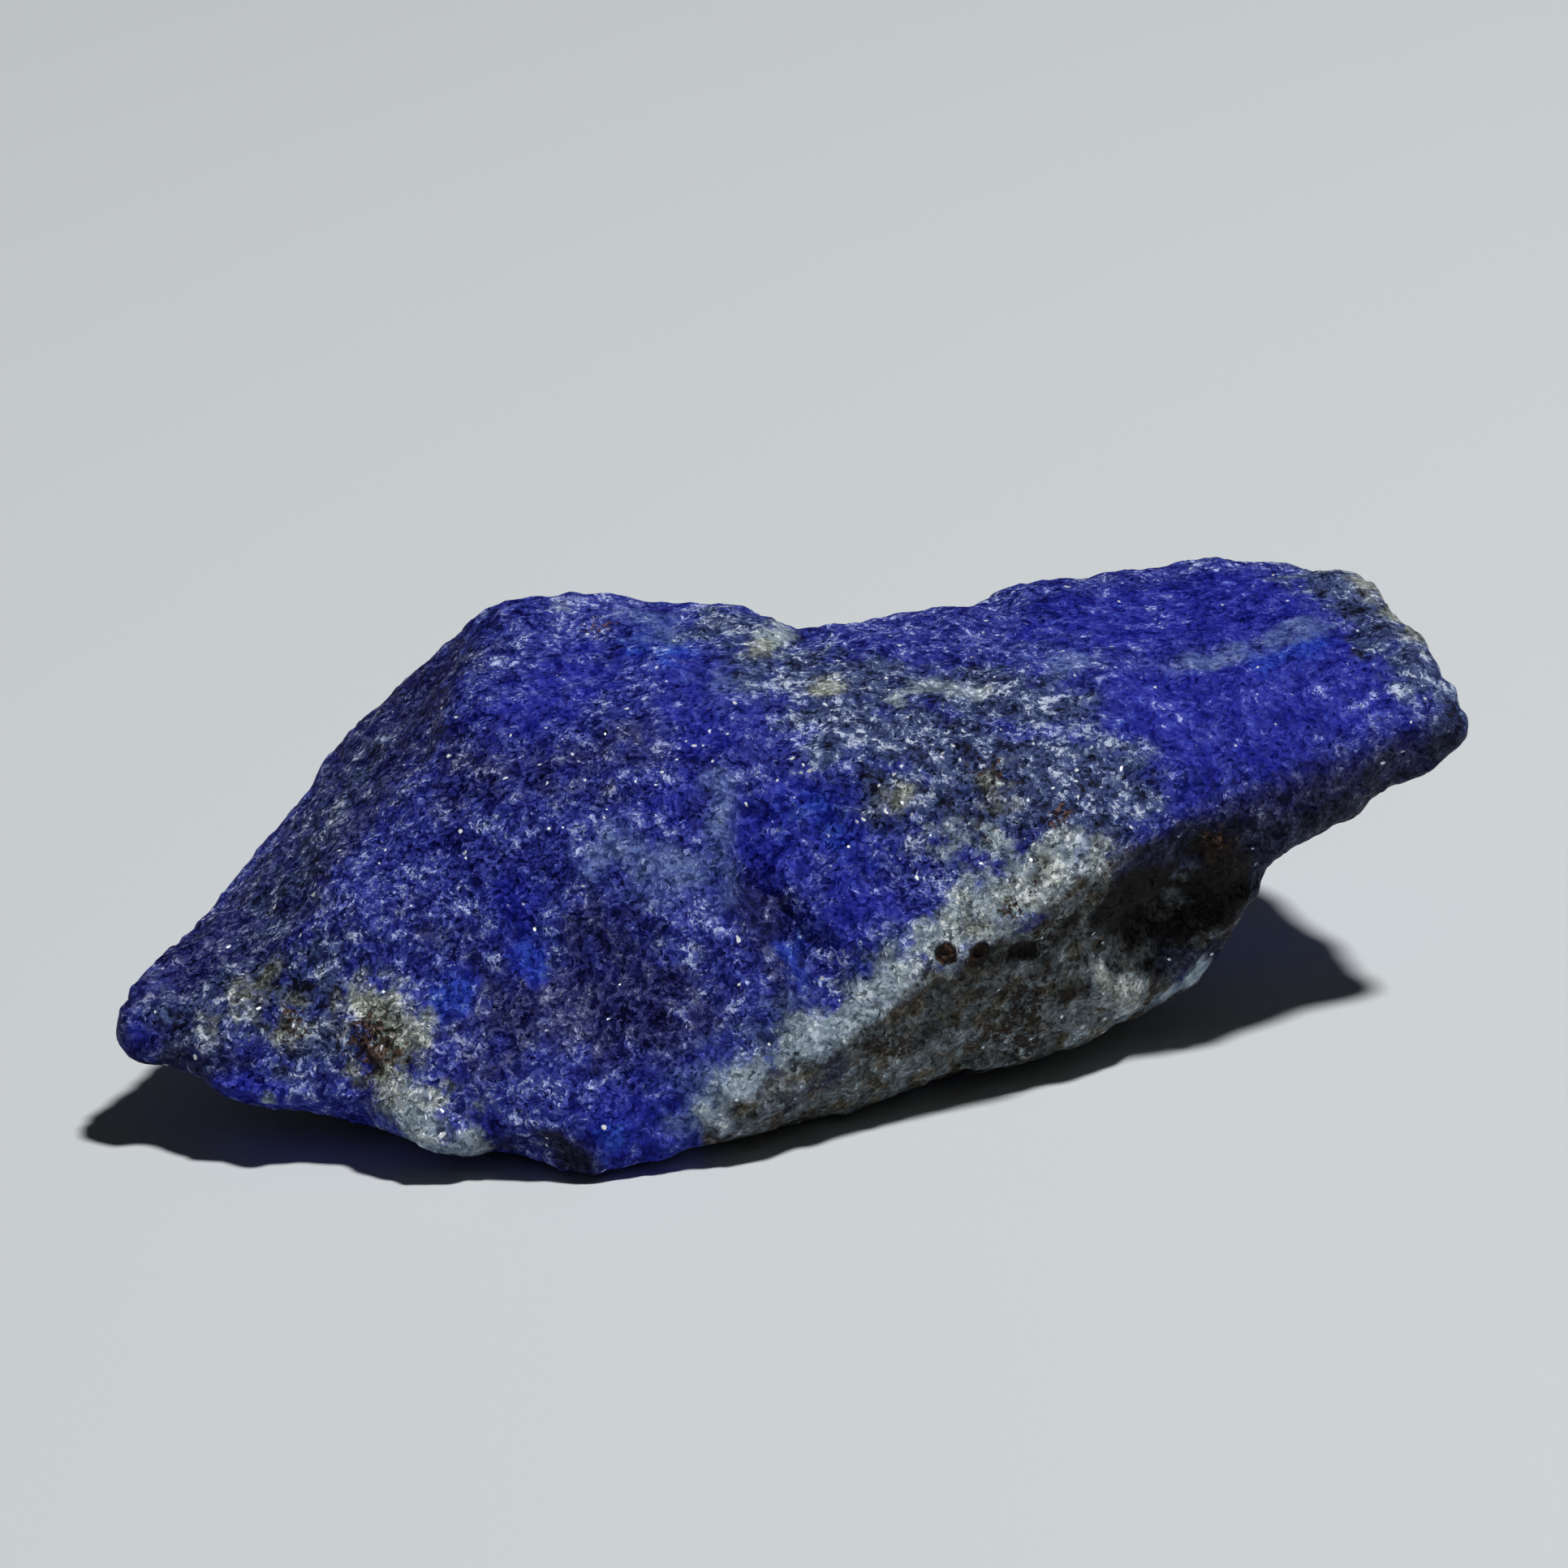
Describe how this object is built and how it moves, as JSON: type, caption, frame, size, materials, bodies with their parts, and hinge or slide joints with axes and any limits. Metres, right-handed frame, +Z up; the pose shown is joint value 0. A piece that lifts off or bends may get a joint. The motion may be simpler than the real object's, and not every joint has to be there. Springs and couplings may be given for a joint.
{
  "type": "lapis lazuli specimen",
  "caption": "Rough broken piece of deep blue lapis lazuli with pale calcite bands and rust spots, lying on its flattest side.",
  "frame": {"origin": "centre of the bounding box's base, on the surface the stone lies on", "axes": "+X along the stone's length towards the jutting slab, +Y towards its back, +Z up"},
  "size_m": [0.0466, 0.0256, 0.0144],
  "materials": {
    "lapis": "matt broken surface with a faint waxy gloss and small sparkling grains"
  },
  "bodies": {
    "root": {"lapis_lazuli_stone": "lapis"}
  },
  "joints": []
}
